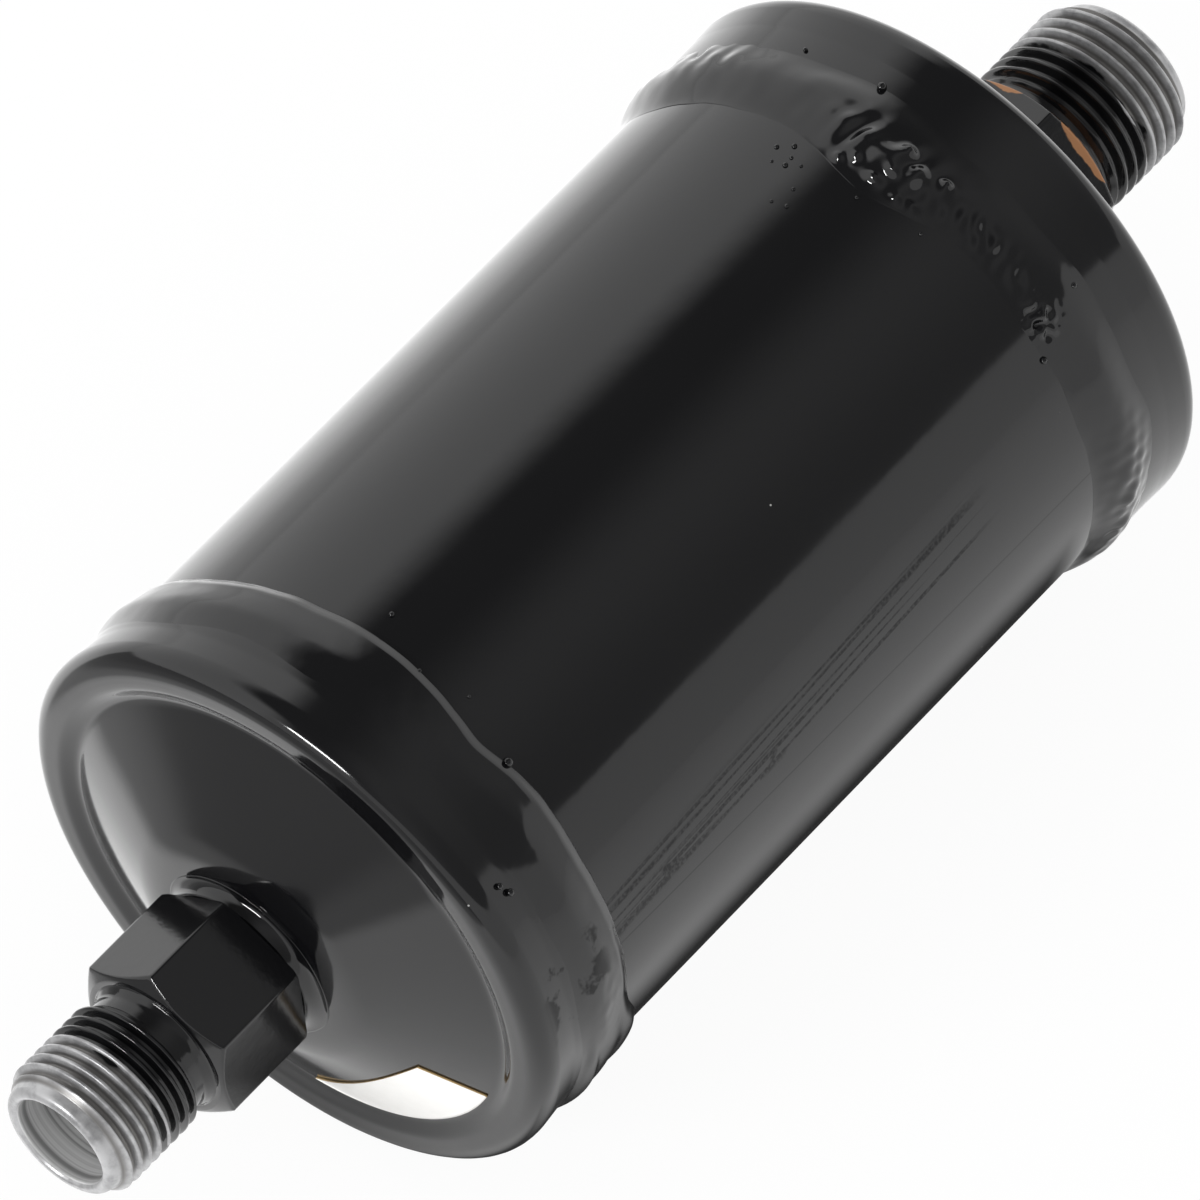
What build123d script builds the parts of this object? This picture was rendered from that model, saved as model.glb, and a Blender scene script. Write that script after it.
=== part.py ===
from build123d import *
import os
from dataclasses import dataclass
from math import atan2, cos, radians, sin, sqrt

# In-line refrigerant filter drier, lying on its side. Millimetres.
# +X runs along the axis towards the outlet (the smaller fitting), +Z is up, z = 0 is the floor,
# and the origin is below the middle of the overall length. Every round piece is turned about
# the drier's own axis first and lifted to its height at the very end.

# ---- driving sizes: shell and end caps ----
shell_diameter = 63.5
shell_wall = 1.5
cap_wall = 1.1
body_length = 107.8        # from the rim of one cap to the rim of the other
cap_depth = 12.0           # how far a cap sleeves back from its rim
rim_fillet = 3.5           # outer corner of the drawn rim
rim_width = 4.0            # from the cap's skirt to the inner edge of the rim's top
crown_width = 1.7          # slope from the rim's top down into the round groove
groove_depth = 0.9
dome_rise = 5.2            # seat of the fitting above the rim
seat_ledge = 2.2           # flat seat left outside the braze

# ---- driving sizes: weld beads ----
toe_length_inlet = 6.4     # reach of the bead on the shell, from the cap's edge
toe_length_outlet = 4.6
lap_length_inlet = 2.6     # reach of the bead on the cap's skirt
lap_length_outlet = 4.4
bead_height = 0.45         # crown of the bead above the skirt
lump_radius = 6.0          # a drop of weld metal, seen from outside
foot_lump_rise = 1.5       # how far a lump stands above the skirt
foot_half_angle = 13.0     # the drier lies on two lumps of each bead

# ---- driving sizes: fittings ----
outlet_thread_diameter = 15.875    # 5/8-18
outlet_thread_length = 10.6
outlet_neck_diameter = 14.2
outlet_neck_length = 3.0
outlet_hex = 17.46                 # 11/16 across flats
outlet_hex_length = 12.3
outlet_boss_diameter = 17.4
outlet_boss_height = 1.7
outlet_bore = 10.8
outlet_bore_depth = 12.0
outlet_throat = 8.0
outlet_hex_turn = 36.0
inlet_thread_diameter = 19.05      # 3/4-16
inlet_thread_length = 12.1
inlet_neck_diameter = 17.2
inlet_neck_length = 2.1
inlet_hex = 20.64                  # 13/16 across flats
inlet_hex_length = 6.4
inlet_boss_diameter = 20.6
inlet_boss_height = 1.4
inlet_bore = 13.6
inlet_bore_depth = 12.0
inlet_throat = 10.4
inlet_hex_turn = 15.0
nose_length = 1.3          # rounded nose past the thread
hex_chamfer_angle = 30.0
spigot_length = 2.6        # fitting's spigot, through the cap's hole
spigot_step = 2.0          # boss radius less spigot radius
braze_width = 1.2          # concave fillet of braze round the boss, on the cap
braze_edge = 0.15          # thickness of the braze at its outer edge
braze_sink = 0.3           # height of the boss left above the braze

# ---- driving sizes: inside ----
spring_wire = 2.2
spring_diameter = 36.0     # mean diameter
spring_turns = 3.5
spring_facets = 6          # sides of the wire, drawn as a polygon
spring_length = 16.4
seat_thickness = 0.8
seat_collar_height = 3.0
plate_thickness = 1.2
plate_flange_height = 5.0
plate_hole_diameter = 8.0
plate_hole_pitch = 17.0
plate_hole_rings = 1
screen_thickness = 0.5
screen_hem_width = 2.0
screen_hem_thickness = 0.9
pad_thickness = 4.0
spacer_height = 6.0
spacer_wall = 1.2
spacer_window_count = 4
spacer_window_width = 16.0
spacer_window_height = 3.0

# ---- driving sizes: label ----
label_thickness = 0.12
label_inner_radius = 20.0  # its inner corner, from the axis
label_angle = -18.5        # that corner's angle from +Y towards +Z
label_side_angle = -24.6   # direction of its short side
label_long_angle = -128.0  # direction of its long side
label_margin = 0.3         # the groove's middle to the label's edge

# ---- clearances ----
sleeve_gap = 0.05          # cap's skirt round the shell
shell_end_gap = 0.3        # end of the shell to where the cap's corner starts to curve
spigot_gap = 0.05          # spigot in the cap's hole
inner_gap = 0.3            # loose pieces in the shell
pad_gap = 0.15             # fibre pads and desiccant in the shell
stack_gap = 0.02           # between pieces that press on each other

# ---- sizes that follow ----
shell_radius = shell_diameter / 2
shell_bore_radius = shell_radius - shell_wall
skirt_radius = shell_radius + sleeve_gap + cap_wall
crown_radius = skirt_radius - rim_width
groove_radius = crown_radius - crown_width
rim_plane = body_length / 2
overhang_outlet = (dome_rise + outlet_boss_height + outlet_hex_length + outlet_neck_length
                   + outlet_thread_length + nose_length)
overhang_inlet = (dome_rise + inlet_boss_height + inlet_hex_length + inlet_neck_length
                  + inlet_thread_length + nose_length)
body_shift = (overhang_inlet - overhang_outlet) / 2
foot_centre_radius = skirt_radius + foot_lump_rise - lump_radius
axis_height = foot_centre_radius * cos(radians(foot_half_angle)) + lump_radius


@dataclass
class End:
    """One end of the drier, built towards +X from the middle of the shell."""
    thread_radius: float
    thread_length: float
    neck_radius: float
    neck_length: float
    hex_across: float
    hex_length: float
    hex_turn: float
    boss_radius: float
    boss_height: float
    bore_radius: float
    bore_depth: float
    throat_radius: float
    toe_length: float
    lap_length: float
    lumps: tuple             # (angle from +Y towards +Z, place from the cap's edge, rise)

    @property
    def spigot_radius(self):
        return self.boss_radius - spigot_step

    @property
    def hole_radius(self):
        return self.spigot_radius + spigot_gap

    @property
    def seat_radius(self):
        return self.boss_radius + braze_width + seat_ledge

    @property
    def rest_plane(self):
        """The innermost line of the cap's wall, behind the groove."""
        crown_slope = atan2(groove_depth, crown_width)
        dome_slope = atan2(dome_rise + groove_depth, groove_radius - self.seat_radius)
        return rim_plane - groove_depth - cap_wall / cos((crown_slope + dome_slope) / 2)


# The two foot lumps come first. The rest are the drops that a hand-run bead leaves.
foot_angles = (-90 - foot_half_angle, -90 + foot_half_angle)
outlet_lumps = tuple((angle, -0.6, foot_lump_rise) for angle in foot_angles) + (
    (-6.0, -2.6, 0.6),
    (57.0, -1.6, 0.35),
    (172.0, -1.4, 0.6),
)
inlet_lumps = tuple((angle, -0.6, foot_lump_rise) for angle in foot_angles) + (
    (98.0, -2.6, 0.5),
    (76.0, -4.2, 0.6),
    (46.0, -3.2, 0.5),
    (182.0, -2.4, 0.55),
)

outlet = End(outlet_thread_diameter / 2, outlet_thread_length, outlet_neck_diameter / 2,
             outlet_neck_length, outlet_hex, outlet_hex_length, outlet_hex_turn,
             outlet_boss_diameter / 2, outlet_boss_height, outlet_bore / 2, outlet_bore_depth,
             outlet_throat / 2, toe_length_outlet, lap_length_outlet, outlet_lumps)
inlet = End(inlet_thread_diameter / 2, inlet_thread_length, inlet_neck_diameter / 2,
            inlet_neck_length, inlet_hex, inlet_hex_length, inlet_hex_turn,
            inlet_boss_diameter / 2, inlet_boss_height, inlet_bore / 2, inlet_bore_depth,
            inlet_throat / 2, toe_length_inlet, lap_length_inlet, inlet_lumps)


def turned(*edges):
    """A solid of revolution about X from a closed run of edges in the XY plane."""
    return revolve(make_face(Wire(list(edges))), axis=Axis.X)


def turned_polygon(*points):
    return revolve(make_face(Polyline(*points, close=True)), axis=Axis.X)


def tube(start, end, outer, inner):
    return turned_polygon((start, inner), (end, inner), (end, outer), (start, outer))


def disc(start, end, radius):
    return turned_polygon((start, 0), (end, 0), (end, radius), (start, radius))


def polar(radius, angle):
    return radius * cos(radians(angle)), radius * sin(radians(angle))


# ---- shell, caps and welds ----

def shell_tube():
    half = rim_plane - rim_fillet - shell_end_gap
    return tube(-half, half, shell_radius, shell_bore_radius)


def cap_line(end):
    """The cap's outer face, from the skirt's edge over the rim and groove to the hole."""
    groove_plane = rim_plane - groove_depth
    seat_plane = rim_plane + dome_rise
    return FilletPolyline(
        (rim_plane - cap_depth, skirt_radius),
        (rim_plane, skirt_radius),
        (rim_plane, crown_radius),
        (groove_plane, groove_radius),
        (seat_plane, end.seat_radius),
        (seat_plane, end.hole_radius),
        radius=[rim_fillet, 0, 0, 0],
    )


def end_cap(end):
    """A drawn cup of even wall that sleeves over the shell."""
    wall = offset(cap_line(end), amount=cap_wall, kind=Kind.INTERSECTION, side=Side.RIGHT,
                  closed=True)
    return revolve(make_face(wall.edges()), axis=Axis.X)


def weld_bead(end):
    """A fillet weld at the cap's edge with the lumps of a hand-run bead."""
    edge = rim_plane - cap_depth
    toe = edge - end.toe_length
    lap = edge + end.lap_length
    crown = skirt_radius + bead_height
    bead = turned(
        ThreePointArc((toe, shell_radius), (edge - 0.1 * end.toe_length, crown), (lap, skirt_radius)),
        Line((lap, skirt_radius), (lap, shell_bore_radius)),
        Line((lap, shell_bore_radius), (toe, shell_bore_radius)),
        Line((toe, shell_bore_radius), (toe, shell_radius)),
    )
    for angle, place, rise in end.lumps:
        centre_radius = skirt_radius + rise - lump_radius
        bead += Rot(angle, 0, 0) * (Pos(edge + place, centre_radius, 0) * Sphere(lump_radius))
    bead -= disc(0, edge, shell_radius)
    bead -= disc(edge, rim_plane, skirt_radius)
    return bead.solid()


# ---- fittings ----

def hexagon(end, start):
    """Hexagon bar with 30 degree chamfers on both faces, cut by one turned form."""
    stop = start + end.hex_length
    section = Plane.YZ.offset(start) * RegularPolygon(
        end.hex_across / 2, 6, major_radius=False, rotation=end.hex_turn)
    bar = extrude(section, end.hex_length)
    corner = end.hex_across / sqrt(3)
    flat = 0.97 * end.hex_across / 2
    fall = (corner - flat) * sin(radians(hex_chamfer_angle)) / cos(radians(hex_chamfer_angle))
    form = turned_polygon(
        (start, 0), (start, flat), (start + fall, corner),
        (stop - fall, corner), (stop, flat), (stop, 0))
    return bar & form


def fitting(end):
    """Spigot, boss, hexagon, undercut neck and threaded stub, bored through with one step."""
    seat = rim_plane + dome_rise
    hex_start = seat + end.boss_height
    hex_end = hex_start + end.hex_length
    thread_start = hex_end + end.neck_length
    thread_end = thread_start + end.thread_length
    tip = thread_end + nose_length
    lead = end.thread_radius - end.neck_radius
    lip = (end.neck_radius + end.bore_radius) / 2
    body = turned_polygon(
        (seat - spigot_length, 0),
        (seat - spigot_length, end.spigot_radius),
        (seat, end.spigot_radius),
        (seat, end.boss_radius),
        (hex_start, end.boss_radius),
        (hex_start, end.neck_radius),
        (thread_start - lead, end.neck_radius),
        (thread_start, end.thread_radius),
        (thread_end - lead, end.thread_radius),
        (thread_end, end.neck_radius),
        (thread_end, 0),
    )
    nose_face = make_face(Wire([
        Line((thread_end, 0), (thread_end, end.neck_radius)).edge(),
        ThreePointArc(
            (thread_end, end.neck_radius),
            (thread_end + 0.66 * nose_length, end.neck_radius - 0.25 * (end.neck_radius - lip)),
            (tip, lip)).edge(),
        Line((tip, lip), (tip, 0)).edge(),
        Line((tip, 0), (thread_end, 0)).edge(),
    ]))
    body += revolve(nose_face, axis=Axis.X)
    body += hexagon(end, hex_start)
    bore_end = tip - end.bore_depth
    body -= disc(bore_end, tip, end.bore_radius)
    body -= disc(seat - spigot_length, bore_end, end.throat_radius)
    lip_edges = body.edges().filter_by(GeomType.CIRCLE).filter_by(
        lambda edge: abs(edge.center().X - tip) < 0.01 and edge.radius < lip - 0.01)
    return fillet(lip_edges, 0.45 * (lip - end.bore_radius)).solid()


def braze_ring(end):
    """Concave fillet of braze between the fitting's boss and the cap."""
    seat = rim_plane + dome_rise
    top = seat + end.boss_height - braze_sink
    outer = end.boss_radius + braze_width
    return turned(
        Line((seat, end.boss_radius), (top, end.boss_radius)),
        TangentArc((seat + braze_edge, outer), (top, end.boss_radius), tangent=(0, -1)),
        Line((seat + braze_edge, outer), (seat, outer)),
        Line((seat, outer), (seat, end.boss_radius)),
    )


# ---- label ----

def label():
    """A thin blank sticker on the outlet cap's dome, trimmed by the groove."""
    stretch = 3 * groove_radius
    corner = polar(label_inner_radius, label_angle)
    side = polar(stretch, label_side_angle)
    long = polar(stretch, label_long_angle)
    blank = Polyline(
        corner,
        (corner[0] + side[0], corner[1] + side[1]),
        (corner[0] + side[0] + long[0], corner[1] + side[1] + long[1]),
        (corner[0] + long[0], corner[1] + long[1]),
        close=True)
    prism = extrude(Plane.YZ * make_face(blank), 2 * rim_plane)
    prism &= disc(0, 2 * rim_plane, groove_radius - label_margin)
    outer_line = cap_line(outlet)
    sheet = offset(outer_line, amount=label_thickness, kind=Kind.INTERSECTION, side=Side.LEFT,
                   closed=True)
    skin = revolve(make_face(sheet.edges()), axis=Axis.X)
    return (skin & prism).solid()


# ---- inside ----

seat_start = stack_gap - inlet.rest_plane
loose_radius = shell_bore_radius - inner_gap
filled_radius = shell_bore_radius - pad_gap
spring_start = seat_start + seat_thickness + stack_gap
plate_start = spring_start + spring_length + stack_gap
inlet_screen_start = plate_start + plate_thickness + stack_gap
inlet_pad_start = inlet_screen_start + screen_thickness + stack_gap
bed_start = inlet_pad_start + pad_thickness + stack_gap
spacer_start = outlet.rest_plane - stack_gap - spacer_height
outlet_plate_start = spacer_start - stack_gap - plate_thickness
outlet_screen_start = outlet_plate_start - stack_gap - screen_thickness
outlet_pad_start = outlet_screen_start - stack_gap - pad_thickness
bed_end = outlet_pad_start - stack_gap


def spring_seat():
    """Dished washer behind the inlet cap, with a collar that centres the spring."""
    collar_outer = (spring_diameter - spring_wire) / 2 - inner_gap
    collar_inner = collar_outer - seat_thickness
    top = seat_start + seat_thickness
    washer = tube(seat_start, top, loose_radius, collar_inner)
    return washer + tube(top, top + seat_collar_height, collar_outer, collar_inner)


def spring():
    """Open-coiled compression spring between its seat and the pressure plate."""
    rise = spring_length - spring_wire
    helix = Helix(rise / spring_turns, rise, spring_diameter / 2)
    section = Plane(origin=helix @ 0, z_dir=helix % 0) * RegularPolygon(
        spring_wire / 2, spring_facets)
    coil = sweep(section, path=helix)
    return Pos(spring_start + spring_wire / 2, 0, 0) * (Rot(0, 90, 0) * coil)


def hole_pattern(start, stop):
    """Holes on a triangular grid, in rings about the middle one."""
    drills = []
    for row in range(-plate_hole_rings, plate_hole_rings + 1):
        for column in range(-plate_hole_rings, plate_hole_rings + 1):
            if abs(row + column) > plate_hole_rings:
                continue
            y = plate_hole_pitch * (column + row / 2)
            z = plate_hole_pitch * row * sin(radians(60))
            drill = Plane.YZ.offset(start) * Pos(y, z) * Circle(plate_hole_diameter / 2)
            drills.append(extrude(drill, stop - start))
    return drills


def perforated_plate(start, flange_side):
    """Pressed plate with a turned rim and a grid of holes."""
    stop = start + plate_thickness
    plate = disc(start, stop, loose_radius)
    if flange_side:
        reach = start - plate_flange_height
        plate += tube(reach, start, loose_radius, loose_radius - plate_thickness)
    return plate - hole_pattern(start, stop)


def screen(start, hem_side):
    """Woven wire disc, drawn as a thin sheet, with a folded hem inside the pad's recess."""
    stop = start + screen_thickness
    sheet = disc(start, stop, loose_radius)
    fold = screen_hem_thickness
    hem_start = stop if hem_side > 0 else start - fold
    return sheet + tube(hem_start, hem_start + fold, loose_radius, loose_radius - screen_hem_width)


def pad(start, hem_side):
    """Fibre pad, pressed in at its edge by the screen's hem."""
    stop = start + pad_thickness
    body = disc(start, stop, filled_radius)
    recess = screen_hem_thickness + stack_gap
    inner = loose_radius - screen_hem_width - stack_gap
    if hem_side > 0:
        return body - tube(start, start + recess, filled_radius, inner)
    return body - tube(stop - recess, stop, filled_radius, inner)


def spacer():
    """Rolled ring with windows that holds the outlet plate off the cap."""
    stop = spacer_start + spacer_height
    ring = tube(spacer_start, stop, loose_radius, loose_radius - spacer_wall)
    middle = spacer_start + spacer_height / 2
    for index in range(spacer_window_count):
        window = Box(spacer_window_height, spacer_window_width, 4 * spacer_wall)
        turn = Rot(360 * index / spacer_window_count, 0, 0)
        ring -= Pos(middle, 0, 0) * (turn * (Pos(0, 0, loose_radius - spacer_wall / 2) * window))
    return ring


def at_inlet(shape):
    """Turns an end that was built towards +X over to -X."""
    return mirror(shape, about=Plane.YZ)


nodes = {
    "shell": shell_tube(),
    "outlet_cap": end_cap(outlet),
    "inlet_cap": at_inlet(end_cap(inlet)),
    "outlet_weld": weld_bead(outlet),
    "inlet_weld": at_inlet(weld_bead(inlet)),
    "outlet_fitting": fitting(outlet),
    "inlet_fitting": at_inlet(fitting(inlet)),
    "outlet_braze": braze_ring(outlet),
    "inlet_braze": at_inlet(braze_ring(inlet)),
    "label": label(),
    "spring_seat": spring_seat(),
    "spring": spring(),
    "pressure_plate": perforated_plate(plate_start, True),
    "inlet_screen": screen(inlet_screen_start, 1),
    "inlet_pad": pad(inlet_pad_start, 1),
    "desiccant_bed": disc(bed_start, bed_end, filled_radius),
    "outlet_pad": pad(outlet_pad_start, -1),
    "outlet_screen": screen(outlet_screen_start, -1),
    "outlet_plate": perforated_plate(outlet_plate_start, False),
    "outlet_spacer": spacer(),
}

os.makedirs("parts", exist_ok=True)
for name, shape in nodes.items():
    export_step(Pos(body_shift, 0, axis_height) * shape, f"parts/{name}.step")
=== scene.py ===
import math

import bpy
import numpy as np
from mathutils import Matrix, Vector


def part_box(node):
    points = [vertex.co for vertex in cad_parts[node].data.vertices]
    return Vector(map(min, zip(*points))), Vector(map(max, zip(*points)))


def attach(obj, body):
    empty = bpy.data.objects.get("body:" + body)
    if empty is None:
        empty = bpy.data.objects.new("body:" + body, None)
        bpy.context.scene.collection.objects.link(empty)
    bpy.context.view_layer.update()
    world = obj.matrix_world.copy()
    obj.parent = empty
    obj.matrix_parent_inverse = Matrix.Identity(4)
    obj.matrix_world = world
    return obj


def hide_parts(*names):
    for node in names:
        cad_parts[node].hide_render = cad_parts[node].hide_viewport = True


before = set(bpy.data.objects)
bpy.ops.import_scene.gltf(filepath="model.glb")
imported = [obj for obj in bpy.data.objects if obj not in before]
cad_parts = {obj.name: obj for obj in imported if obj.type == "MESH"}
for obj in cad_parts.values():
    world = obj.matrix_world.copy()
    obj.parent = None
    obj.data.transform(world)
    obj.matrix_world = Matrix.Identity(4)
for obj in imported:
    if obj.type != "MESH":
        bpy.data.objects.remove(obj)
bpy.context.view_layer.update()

# A filter drier that lies on its side. Lengths are in millimetres until a mesh is made, and in
# metres in materials. "Along" runs from the middle of the body towards one end, the same way for
# both ends, and "turn" is the angle round the axis from +Y towards +Z.

MM = 0.001


def node_box(name):
    low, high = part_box(name)
    return np.array(low) / MM, np.array(high) / MM


# ---- sizes taken from the frame ----
shell_low, shell_high = node_box("shell")
cap_low, cap_high = node_box("outlet_cap")
AXIS_HEIGHT = (shell_low[2] + shell_high[2]) / 2
MIDDLE_X = (shell_low[0] + shell_high[0]) / 2
SHELL_RADIUS = (shell_high[2] - shell_low[2]) / 2
SHELL_HALF = (shell_high[0] - shell_low[0]) / 2
SKIRT_RADIUS = (cap_high[2] - cap_low[2]) / 2
CAP_EDGE = cap_low[0] - MIDDLE_X
SEAT = cap_high[0] - MIDDLE_X
OUTLET, INLET = 1, -1

# ---- sizes that both ends share ----
INCH = 25.4
SHELL_WALL = 1.5
CAP_WALL = 1.1
WAIST_END = 5.4              # behind the rim, where the skirt starts to swell
SWELL_END = 2.6              # behind the rim, where it has its full radius
RIM_TAPER = 0.1
CROWN_RADIUS = SKIRT_RADIUS - 4.0
GROOVE_RADIUS = CROWN_RADIUS - 1.7
GROOVE_DEPTH = 0.9
# At the cap's corners, from the skirt's waist over the rim, crown and groove to the seat.
CAP_FILLETS = (6.0, 2.0, 2.3, 1.6, 1.2, 13.0)
SEAT_LEDGE = 2.2             # flat seat left outside the braze
SPIGOT_LENGTH = 2.6
SPIGOT_STEP = 2.0            # boss radius less spigot radius
SPIGOT_GAP = 0.05
NOSE_LENGTH = 1.3
BORE_DEPTH = 12.0
HEX_CHAMFER = 30.0           # degrees
HEX_FOOT, HEX_TOP = 1.12, 0.96   # radii of the chamfers at the bar's ends, as shares of its flat
THREAD_DEPTH = 0.6134        # of a unified thread, in pitches
BRAZE_WIDTH = 1.2
BRAZE_SINK = 0.3             # height of the boss left above the braze
FOOT_TURNS = (-103.0, -77.0)     # degrees
FOOT_BALL = 6.0              # radius of the drops that the drier lies on
FOOT_RISE = 1.5              # how far they stand above the skirt
FOOT_PLACE = CAP_EDGE - 0.6
LABEL_CORNER = (20.0, -18.5)     # radius and turn of its inner corner
LABEL_SIDES = (-24.6, -128.0)    # directions of its short and long sides, in degrees
LABEL_MARGIN = 0.3           # from the groove's middle to its edge
LABEL_THICKNESS = 0.12
LABEL_SINK = 0.05            # its underside lies that far in the paint
LABEL_LIFT, LIFT_REACH = 0.10, 0.5   # at its edges, and how far in from them
LABEL_LENGTH, LABEL_WIDTH = 28, 8    # about its sides, for the lift

# ---- unevenness: heights and lengths of slow waves ----
SHELL_WAVE, SHELL_WAVELENGTH = 0.012, 24
CAP_WAVE, CAP_WAVELENGTH = 0.02, 26
BRAZE_WAVE, BRAZE_WAVELENGTH = 0.25, 12

# ---- fineness of the skins ----
COLUMNS = 384                # round the shell, the caps and the fittings
HEX_ROWS = 60
ROWS_A_PITCH = 15            # of a thread
BEAD_ROWS, BEAD_COLUMNS = 64, 960
BRAZE_ROWS, BRAZE_COLUMNS = 24, 256
LABEL_ROWS, LABEL_COLUMNS = 28, 90
DROP_ROWS, DROP_COLUMNS = 10, 20


class End:
    """Sizes of one end: its cap, and its fitting from the boss to the tip."""

    def __init__(self, side, rim_drop, waist, thread, thread_length, pitch, neck, neck_length,
                 hexagon, hex_length, hex_turn, boss, boss_height, bore, throat):
        self.side = side
        self.rim = SEAT - rim_drop
        self.waist_radius = SKIRT_RADIUS - waist
        self.thread_radius = thread / 2
        self.pitch = pitch
        self.neck_radius = neck / 2
        self.hex_flat = hexagon / 2
        self.hex_turn = hex_turn
        self.boss_radius = boss / 2
        self.boss_height = boss_height
        self.spigot_radius = self.boss_radius - SPIGOT_STEP
        self.seat_radius = self.boss_radius + BRAZE_WIDTH + SEAT_LEDGE
        self.bore_radius = bore / 2
        self.throat_radius = throat / 2
        self.hex_start = SEAT + boss_height
        self.hex_end = self.hex_start + hex_length
        self.thread_start = self.hex_end + neck_length
        self.thread_end = self.thread_start + thread_length
        self.tip = self.thread_end + NOSE_LENGTH
        self.bore_end = self.tip - BORE_DEPTH


outlet = End(
    OUTLET, rim_drop=5.9, waist=0.3, thread=15.875, thread_length=10.6, pitch=INCH / 18,
    neck=14.2, neck_length=3.0, hexagon=17.46, hex_length=12.3, hex_turn=36.0,
    boss=17.4, boss_height=1.7, bore=10.8, throat=8.0)
inlet = End(
    INLET, rim_drop=6.4, waist=0.1, thread=19.05, thread_length=12.1, pitch=INCH / 16,
    neck=17.2, neck_length=2.1, hexagon=20.64, hex_length=6.4, hex_turn=15.0,
    boss=20.6, boss_height=1.4, bore=13.6, throat=10.4)


# ---- mesh tools ----

def smooth_step(value, low, high):
    t = np.clip((value - low) / (high - low), 0.0, 1.0)
    return t * t * (3 - 2 * t)


def soft_min(first, second, width):
    """The smaller of two fields, rounded over about that width where they cross."""
    blend = np.clip(0.5 + 0.5 * (second - first) / width, 0.0, 1.0)
    return second + (first - second) * blend - width * blend * (1 - blend)


def soft_max(first, second, width):
    return -soft_min(-first, -second, width)


def ripple(points, wavelength, seed, waves=14):
    """A smooth random field of about unit spread: plane waves added up."""
    rng = np.random.default_rng(seed)
    field = np.zeros(points.shape[:-1])
    for _ in range(waves):
        direction = rng.normal(size=3)
        direction *= rng.uniform(0.6, 1.5) * 2 * math.pi / (wavelength * np.linalg.norm(direction))
        field += np.sin(points @ direction + rng.uniform(0, 2 * math.pi))
    return field * math.sqrt(2 / waves)


def turn_gap(turns, centre):
    """Signed angle in radians from a turn in degrees, wrapped to half a circle."""
    return (turns - math.radians(centre) + math.pi) % (2 * math.pi) - math.pi


def place(along, radius, turns, side):
    """Points of the row frame, in millimetres."""
    return np.stack(np.broadcast_arrays(MIDDLE_X + side * along, radius * np.cos(turns),
                                        AXIS_HEIGHT + radius * np.sin(turns)), axis=-1)


def add_mesh(name, points, quads):
    mesh = bpy.data.meshes.new(name)
    mesh.from_pydata((np.asarray(points).reshape(-1, 3) * MM).tolist(), [], quads.tolist())
    mesh.polygons.foreach_set("use_smooth", np.ones(len(quads), bool))
    mesh.validate()
    piece = bpy.data.objects.new(name, mesh)
    bpy.context.scene.collection.objects.link(piece)
    return piece


def grid_quads(rows, columns, ring_rows, ring_columns, flip):
    """Faces of a grid of points, closed into a ring either way round."""
    row = np.arange(rows if ring_rows else rows - 1)[:, None]
    column = np.arange(columns if ring_columns else columns - 1)[None, :]
    row_next = (row + 1) % rows
    column_next = (column + 1) % columns
    corners = [row * columns + column, row * columns + column_next,
               row_next * columns + column_next, row_next * columns + column]
    quads = np.stack(np.broadcast_arrays(*corners), axis=-1).reshape(-1, 4)
    return quads[:, ::-1] if flip else quads


def turn_angles(columns):
    return np.linspace(0, 2 * math.pi, columns, endpoint=False)[None, :]


def upright(line):
    """The places and the radii of a line, each as a column."""
    return line[:, :1], line[:, 1:]


def stack_rows(*parts):
    """Rows one after another, each spread over as many columns as the widest has."""
    columns = max(part.shape[1] for part in parts)
    return np.vstack([np.broadcast_to(part, (len(part), columns)) for part in parts])


def lathe(name, along, radius, side, columns):
    """A closed ring-shaped skin from rows of places and radii, which may vary round the axis."""
    turns = turn_angles(columns)
    along = np.broadcast_to(along, (len(along), columns))
    radius = np.broadcast_to(radius, (len(radius), columns))
    points = place(along, radius, turns, side)
    return add_mesh(name, points, grid_quads(len(along), columns, True, True, side == INLET))


def rounded_line(corners, fillets, step):
    """Points of a run of straights whose inner corners are rounded, cut into steps."""
    corners = [np.array(corner, float) for corner in corners]
    points = [corners[0]]
    for before, corner, after, fillet in zip(corners, corners[1:], corners[2:], fillets):
        into = (corner - before) / np.linalg.norm(corner - before)
        out = (after - corner) / np.linalg.norm(after - corner)
        bend = math.acos(np.clip(into @ out, -1, 1))
        if fillet == 0 or bend < 0.01:
            points.append(corner)
            continue
        reach = fillet * math.tan(bend / 2)
        centre = corner + (out - into) / np.linalg.norm(out - into) * fillet / math.cos(bend / 2)
        count = max(3, math.ceil(fillet * bend / step))
        start = corner - into * reach - centre
        sign = np.sign(into[0] * out[1] - into[1] * out[0])
        for share in np.linspace(0, 1, count + 1):
            c, s = math.cos(bend * share), sign * math.sin(bend * share)
            turned = (c * start[0] - s * start[1], s * start[0] + c * start[1])
            points.append(centre + np.array(turned))
    points.append(corners[-1])
    line = [points[0]]
    for point in points[1:]:
        gap = np.linalg.norm(point - line[-1])
        if gap < 1e-6:
            continue
        cuts = max(1, round(gap / step))
        line += [line[-1] + (point - line[-1]) * k / cuts for k in range(1, cuts + 1)]
    return np.array(line)


def line_normals(line):
    """Unit normals to the left of a run of points."""
    ahead = np.gradient(line, axis=0)
    ahead /= np.linalg.norm(ahead, axis=1)[:, None]
    return np.stack((-ahead[:, 1], ahead[:, 0]), axis=-1)


def finish_piece(piece, material, slot, *nodes):
    piece.data.materials.append(material)
    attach(piece, "root")
    if nodes:
        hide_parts(*nodes)
    return piece


# ---- material tools ----

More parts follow.
